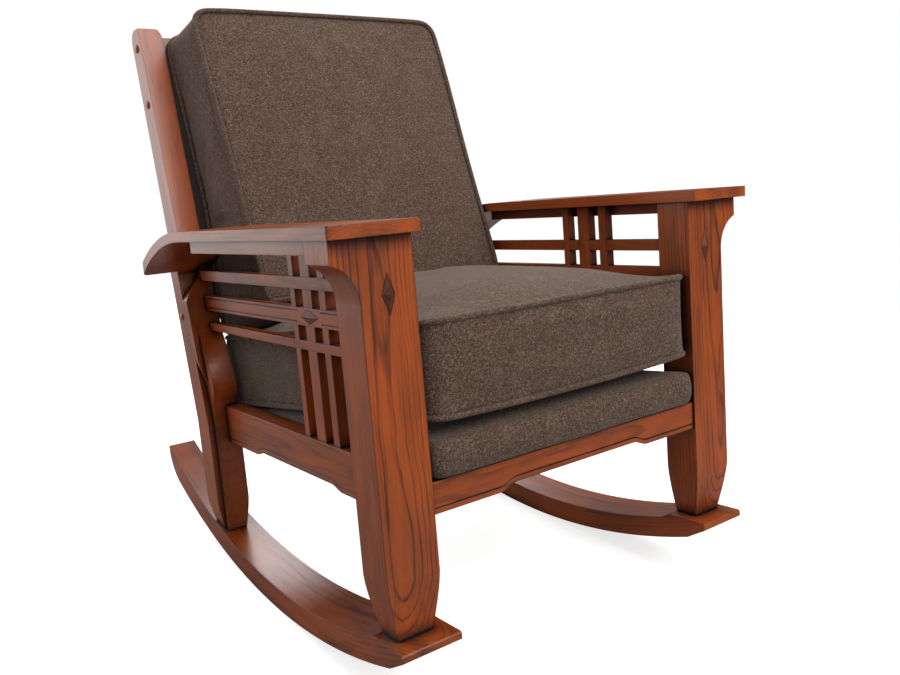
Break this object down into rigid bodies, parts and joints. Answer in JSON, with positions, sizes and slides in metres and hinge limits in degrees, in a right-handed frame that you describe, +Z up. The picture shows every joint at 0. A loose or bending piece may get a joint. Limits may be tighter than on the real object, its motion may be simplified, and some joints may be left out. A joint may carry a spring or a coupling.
{
  "type": "rocking chair",
  "caption": "Wooden rocking chair on curved runners, with broad bent arms, lattice side panels, a sprung upholstered seat deck and loose seat and back cushions.",
  "frame": {"origin": "on the floor, under the middle of the chair's width and depth, with the chair standing at rest on its runners", "axes": "+Z up, -Y the way the sitter faces, +X to the right of someone who looks at the chair's front"},
  "size_m": [0.886, 1.0648, 1.131],
  "materials": {
    "stained_wood": "satin reddish brown stain with a dark glaze in the joints",
    "dark_wood": "satin, darker stain",
    "inner_wood": "plain sawn",
    "upholstery": "dark taupe chenille with light flecks",
    "black_cloth": "matt black lining and webbing",
    "steel": "plain"
  },
  "bodies": {
    "frame": {"front_leg_left": "stained_wood", "front_leg_right": "stained_wood", "leg_diamond_left": "dark_wood", "leg_diamond_right": "dark_wood", "rear_leg_left": "stained_wood", "rear_leg_right": "stained_wood", "rocker_left": "stained_wood", "rocker_right": "stained_wood", "arm_left": "stained_wood", "arm_right": "stained_wood", "under_arm_rail_left": "stained_wood", "under_arm_rail_right": "stained_wood", "side_rail_left": "stained_wood", "side_rail_right": "stained_wood", "upper_slat_left": "stained_wood", "upper_slat_right": "stained_wood", "middle_slat_left": "stained_wood", "middle_slat_right": "stained_wood", "lower_slat_left": "stained_wood", "lower_slat_right": "stained_wood", "rear_upright_left": "stained_wood", "rear_upright_right": "stained_wood", "center_upright_left": "stained_wood", "center_upright_right": "stained_wood", "front_upright_left": "stained_wood", "front_upright_right": "stained_wood", "slat_diamond_left": "dark_wood", "slat_diamond_right": "dark_wood", "front_rail": "stained_wood", "rear_rail": "stained_wood", "crest_rail": "stained_wood", "middle_back_rail": "stained_wood", "lower_back_rail": "stained_wood", "back_straps": "black_cloth", "back_cloth": "black_cloth", "rail_screws": "steel", "screw_plugs": "dark_wood", "rocker_screws": "steel", "corner_blocks": "inner_wood", "seat_frame_left": "inner_wood", "seat_frame_right": "inner_wood", "seat_frame_front": "inner_wood", "seat_frame_rear": "inner_wood", "seat_springs": "steel", "dust_cover": "black_cloth", "seat_deck": "upholstery"},
    "seat_cushion_body": {"seat_cushion": "upholstery"},
    "back_cushion_body": {"back_cushion": "upholstery"}
  },
  "joints": [
    {"name": "seat_cushion_slide", "type": "slide", "parent": "frame", "child": "seat_cushion_body", "axis": [0, -0.986, 0.1668], "range_m": [0, 0.78]},
    {"name": "back_cushion_slide", "type": "slide", "parent": "frame", "child": "back_cushion_body", "axis": [0, 0.2639, 0.9646], "range_m": [0, 0.7]}
  ]
}
